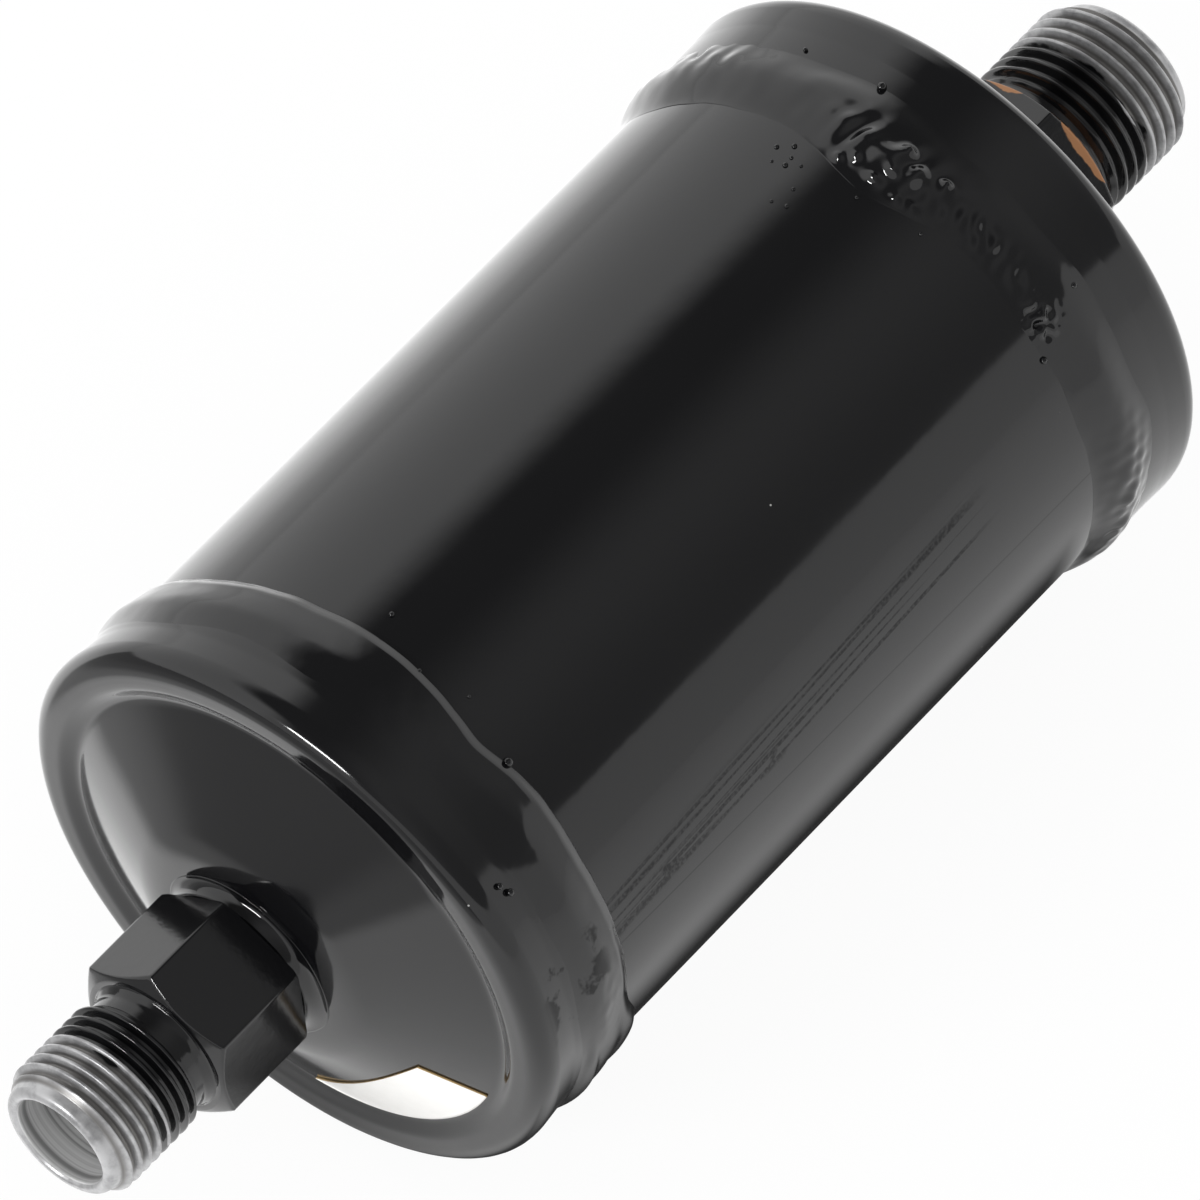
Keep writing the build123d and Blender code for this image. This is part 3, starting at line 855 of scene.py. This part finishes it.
def make_spatter(material):
    """Beads of weld spatter on the shell, the welds and the caps."""
    spots = [(INLET, *spot) for spot in INLET_SPATTER]
    spots += [(OUTLET, *spot) for spot in OUTLET_SPATTER]
    tilt = np.linspace(0.02, math.pi - 0.02, DROP_ROWS)[:, None, None]
    spin = np.linspace(0, 2 * math.pi, DROP_COLUMNS, endpoint=False)[None, :, None]
    faces = grid_quads(DROP_ROWS, DROP_COLUMNS, False, True, True)
    points, quads = [], []
    for number, (side, along, turn, size) in enumerate(spots):
        base = SHELL_RADIUS if along < ON_SHELL[side] else SKIRT_RADIUS
        angle = math.radians(turn)
        out = np.array((0, math.cos(angle), math.sin(angle)))
        round_way = np.array((0, -math.sin(angle), math.cos(angle)))
        centre = place(np.array(along), np.array(base + 0.1 * size), np.array(angle), side)
        ball = size * (np.cos(tilt) * out + np.sin(tilt) * (
            np.cos(spin) * np.array((1, 0, 0)) + np.sin(spin) * round_way))
        points.append((centre + ball).reshape(-1, 3))
        quads.append(faces + number * DROP_ROWS * DROP_COLUMNS)
    piece = add_mesh("weld_spatter", np.vstack(points), np.vstack(quads))
    return finish_piece(piece, material, "painted_weld")


# ---- surroundings ----

WHITE = (1.0, 1.0, 1.0, 1.0)
STUDIO_GREY = (0.8, 0.8, 0.8, 1.0)


def make_floor():
    """A plain white floor that keeps the drier's soft shadow."""
    mesh = bpy.data.meshes.new("floor")
    reach = 4.0  # metres
    mesh.from_pydata([(-reach, -reach, 0), (reach, -reach, 0), (reach, reach, 0),
                      (-reach, reach, 0)], [], [(0, 1, 2, 3)])
    floor = bpy.data.objects.new("floor", mesh)
    bpy.context.scene.collection.objects.link(floor)
    shader = Shader("floor_white")
    rays = shader.add("ShaderNodeLightPath").outputs
    # In gloss the floor has painted light and shade: brighter on the -Y side, dim in front, and
    # dark under the can as a painted shadow.
    x, y, _ = shader.add("ShaderNodeSeparateXYZ", Vector=shader.place).outputs
    bright = shader.product(shader.spread(y, -0.02, 0.07, 1.45, 1.08),
                            shader.spread(y, -0.30, -0.10, 0.75, 1.0))
    slant = shader.math("MULTIPLY_ADD", y, -1.2, x)
    dim = shader.product(shader.spread(slant, 0.128, 0.155, 1.0, 0.48),
                         shader.spread(slant, 0.18, 0.26, 1.0, 0.6))
    front = shader.most(dim, shader.spread(x, 0.06, 0.08, 1.0, 0.0))
    clear = shader.most(shader.spread(shader.math("ABSOLUTE", x), 0.046, 0.056, 0.08, 1.0),
                        shader.spread(y, 0.028, 0.046, 0.08, 1.0),
                        shader.spread(y, -0.024, -0.010, 1.0, 0.08))
    painted_gloss_floor = shader.product(bright, front, clear)
    paper = shader.mix(rays["Is Glossy Ray"], (0.9, 0.9, 0.9, 1.0), painted_gloss_floor)
    matt = shader.add("ShaderNodeBsdfDiffuse", Color=paper).outputs[0]
    glow = shader.add("ShaderNodeEmission", Color=WHITE, Strength=1.0).outputs[0]
    # The camera sees plain white, with a little of the lit floor that keeps the shadow.
    to_camera = shader.math("MULTIPLY", rays["Is Camera Ray"], 0.94)
    output = shader.tree.nodes["Material Output"]
    shader.put(output.inputs["Surface"], shader.either(to_camera, matt, glow))
    mesh.materials.append(shader.material)


def make_world():
    """Even white, in which gloss sees a bright wall at -Y, a low horizon and a dim ceiling."""
    world = bpy.data.worlds.new("studio")
    bpy.context.scene.world = world
    world.use_nodes = True
    world.node_tree.nodes.clear()
    nodes = Nodes(world.node_tree)
    way = nodes.add("ShaderNodeTexCoord").outputs["Generated"]
    _, y, z = nodes.add("ShaderNodeSeparateXYZ", Vector=way).outputs
    horizon = nodes.spread(z, 0.32, 0.345, 1.25, 0.0)
    wall = nodes.product(nodes.spread(y, -0.50, -0.25, 1.0, 0.0),
                         nodes.spread(z, 0.66, 0.86, 1.65, 0.0))
    ceiling = nodes.product(nodes.spread(y, -0.15, 0.33, 0.17, 0.5),
                            nodes.spread(y, 0.36, 0.8, 1.0, 0.68))
    level = nodes.most(horizon, wall, ceiling)
    studio = nodes.add("ShaderNodeBackground", Color=STUDIO_GREY, Strength=level).outputs[0]
    even = nodes.add("ShaderNodeBackground", Color=WHITE, Strength=1.0).outputs[0]
    gloss = nodes.add("ShaderNodeLightPath").outputs["Is Glossy Ray"]
    nodes.add("ShaderNodeOutputWorld", Surface=nodes.either(gloss, even, studio))


def direction_to(azimuth, elevation):
    """A step of 1 in a direction: degrees from +X towards +Y, and degrees above the floor."""
    az, el = math.radians(azimuth), math.radians(elevation)
    return Vector((math.cos(az) * math.cos(el), math.sin(az) * math.cos(el), math.sin(el)))


def aim_at(thing, aim, way, distance):
    """Place a lamp or camera at a distance from a point, in that direction, facing the point."""
    thing.location = aim + way * distance
    thing.rotation_mode = "QUATERNION"
    thing.rotation_quaternion = way.to_track_quat("Z", "Y")
    bpy.context.scene.collection.objects.link(thing)


def make_lamp(name, azimuth, elevation, distance, width, height, power):
    """A soft box that faces the drier. Lengths are in metres."""
    data = bpy.data.lights.new(name, "AREA")
    data.shape = "RECTANGLE"
    data.size, data.size_y = width, height
    data.energy = power
    way = direction_to(azimuth, elevation)
    aim_at(bpy.data.objects.new(name, data), Vector((0, 0, AXIS_HEIGHT * MM)), way, distance)


def make_camera():
    """A long lens that looks down from over the outlet end."""
    data = bpy.data.cameras.new("camera")
    data.lens = 473.6
    data.sensor_width = 36.0
    camera = bpy.data.objects.new("camera", data)
    aim_at(camera, Vector((3.31, 2.14, 37.7)) * MM, direction_to(38.83, 54.55), 1.5761)
    bpy.context.scene.camera = camera


# ---- the scene ----
# Each drop has its place along and turn, its reach along and across, its height and, where it is
# sharp, by how much. Each rough patch has the first five, its grain and its own number.
OUTLET_DROPS = [
    (37.6, -19.0, 2.0, 8.0, 0.42), (43.6, -18.0, 2.3, 8.0, 0.2), (41.0, 172.0, 3.0, 6.0, 0.25),
    (45.2, -18.0, 1.1, 7.0, 0.45, 2.0), (40.4, -20.0, 0.8, 5.0, -0.35), (42.0, 28.0, 3.0, 9.0, 0.1)]
OUTLET_PATCHES = [(42.3, 9.0, 2.6, 6.0, 0.012, 1.5, 5), (38.0, 142.0, 2.0, 8.0, 0.04, 3.0, 6)]
INLET_DROPS = [
    (39.8, 91.0, 4.4, 10.5, 0.45, 3.0), (37.4, 87.0, 2.6, 8.0, 0.3, 2.0),
    (38.6, 60.0, 1.9, 9.0, 0.25, 2.0), (37.6, 45.0, 1.9, 2.8, 0.3, 1.5),
    (40.0, 182.0, 2.4, 8.0, 0.3), (41.0, 2.0, 3.0, 9.0, 0.15),
    (35.3, 91.5, 0.45, 0.7, 0.9), (36.1, 88.6, 0.5, 0.6, 0.75), (36.9, 81.5, 0.5, 0.8, 0.8),
    (39.6, 81.5, 0.55, 0.7, 0.8), (35.4, 83.7, 0.45, 0.9, 0.9), (35.3, 78.2, 0.45, 0.8, 0.9),
    (35.7, 75.2, 0.45, 0.7, 0.8), (39.5, 73.2, 0.45, 0.6, 0.7)]
INLET_PATCHES = [
    (37.8, 86.0, 2.4, 8.5, 0.28, 3.0, 5), (37.4, 44.6, 1.5, 2.0, 0.32, 1.3, 6),
    (38.4, 60.0, 1.5, 7.0, 0.13, 1.8, 9), (42.5, 138.0, 2.6, 9.0, 0.09, 2.8, 7),
    (41.0, -5.0, 3.4, 10.0, 0.08, 2.4, 8)]

paint = gloss_black("gloss_black_paint", scuffs)
weld_paint = gloss_black("painted_weld", scuffs, orange_peel=0.00003, roughness=0.06)
shell_paint = gloss_black("shell_paint", drag_marks)

make_shell(shell_paint)
make_cap("outlet_cap", outlet, paint)
make_cap("inlet_cap", inlet, paint)
make_bead("outlet_weld", outlet, outlet_toe, lap=47.6, lap_radius=SKIRT_RADIUS - 0.27, crown=33.05,
          crown_at=43.3, steep=0.5, drops=OUTLET_DROPS, patches=OUTLET_PATCHES, seed=40,
          material=weld_paint)
make_bead("inlet_weld", inlet, inlet_toe, lap=44.8, lap_radius=SKIRT_RADIUS - 0.1, crown=33.2,
          crown_at=41.0, steep=0.0, drops=INLET_DROPS, patches=INLET_PATCHES, seed=60,
          material=weld_paint)
make_braze("outlet_braze", outlet, "gloss_black_paint", paint)
make_braze("inlet_braze", inlet, "copper_braze", copper_braze("copper_braze"))
make_fitting("outlet_fitting", outlet, "outlet_hexagon",
             fitting_steel("outlet_steel", outlet, paint_edge=80.0, ragged=2.0))
make_fitting("inlet_fitting", inlet, "inlet_hexagon",
             fitting_steel("inlet_steel", inlet, paint_edge=73.4, ragged=2.4, copper_edge=66.7))
make_label(label_paper("label_film"), label_glue("label_glue"))
make_spatter(weld_paint)

zinc = plated_steel("plated_steel", (0.55, 0.56, 0.54))
inner_materials = {
    "spring_seat": zinc, "pressure_plate": zinc, "outlet_plate": zinc, "outlet_spacer": zinc,
    "spring": plated_steel("spring_steel", (0.28, 0.27, 0.27)),
    "inlet_screen": wire_mesh("wire_mesh"), "outlet_screen": wire_mesh("wire_mesh_2"),
    "inlet_pad": fibre_felt("fibre_pad"), "outlet_pad": fibre_felt("fibre_pad_2"),
    "desiccant_bed": desiccant_beads("desiccant"),
}
for name, material in inner_materials.items():
    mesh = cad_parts[name].data
    mesh.materials.clear()
    mesh.materials.append(material)

make_floor()
make_world()
make_lamp("rim_light", azimuth=-12.0, elevation=25.0, distance=1.2, width=0.36, height=0.09,
          power=6.0)
make_camera()

scene = bpy.context.scene
scene.view_settings.view_transform = "Standard"
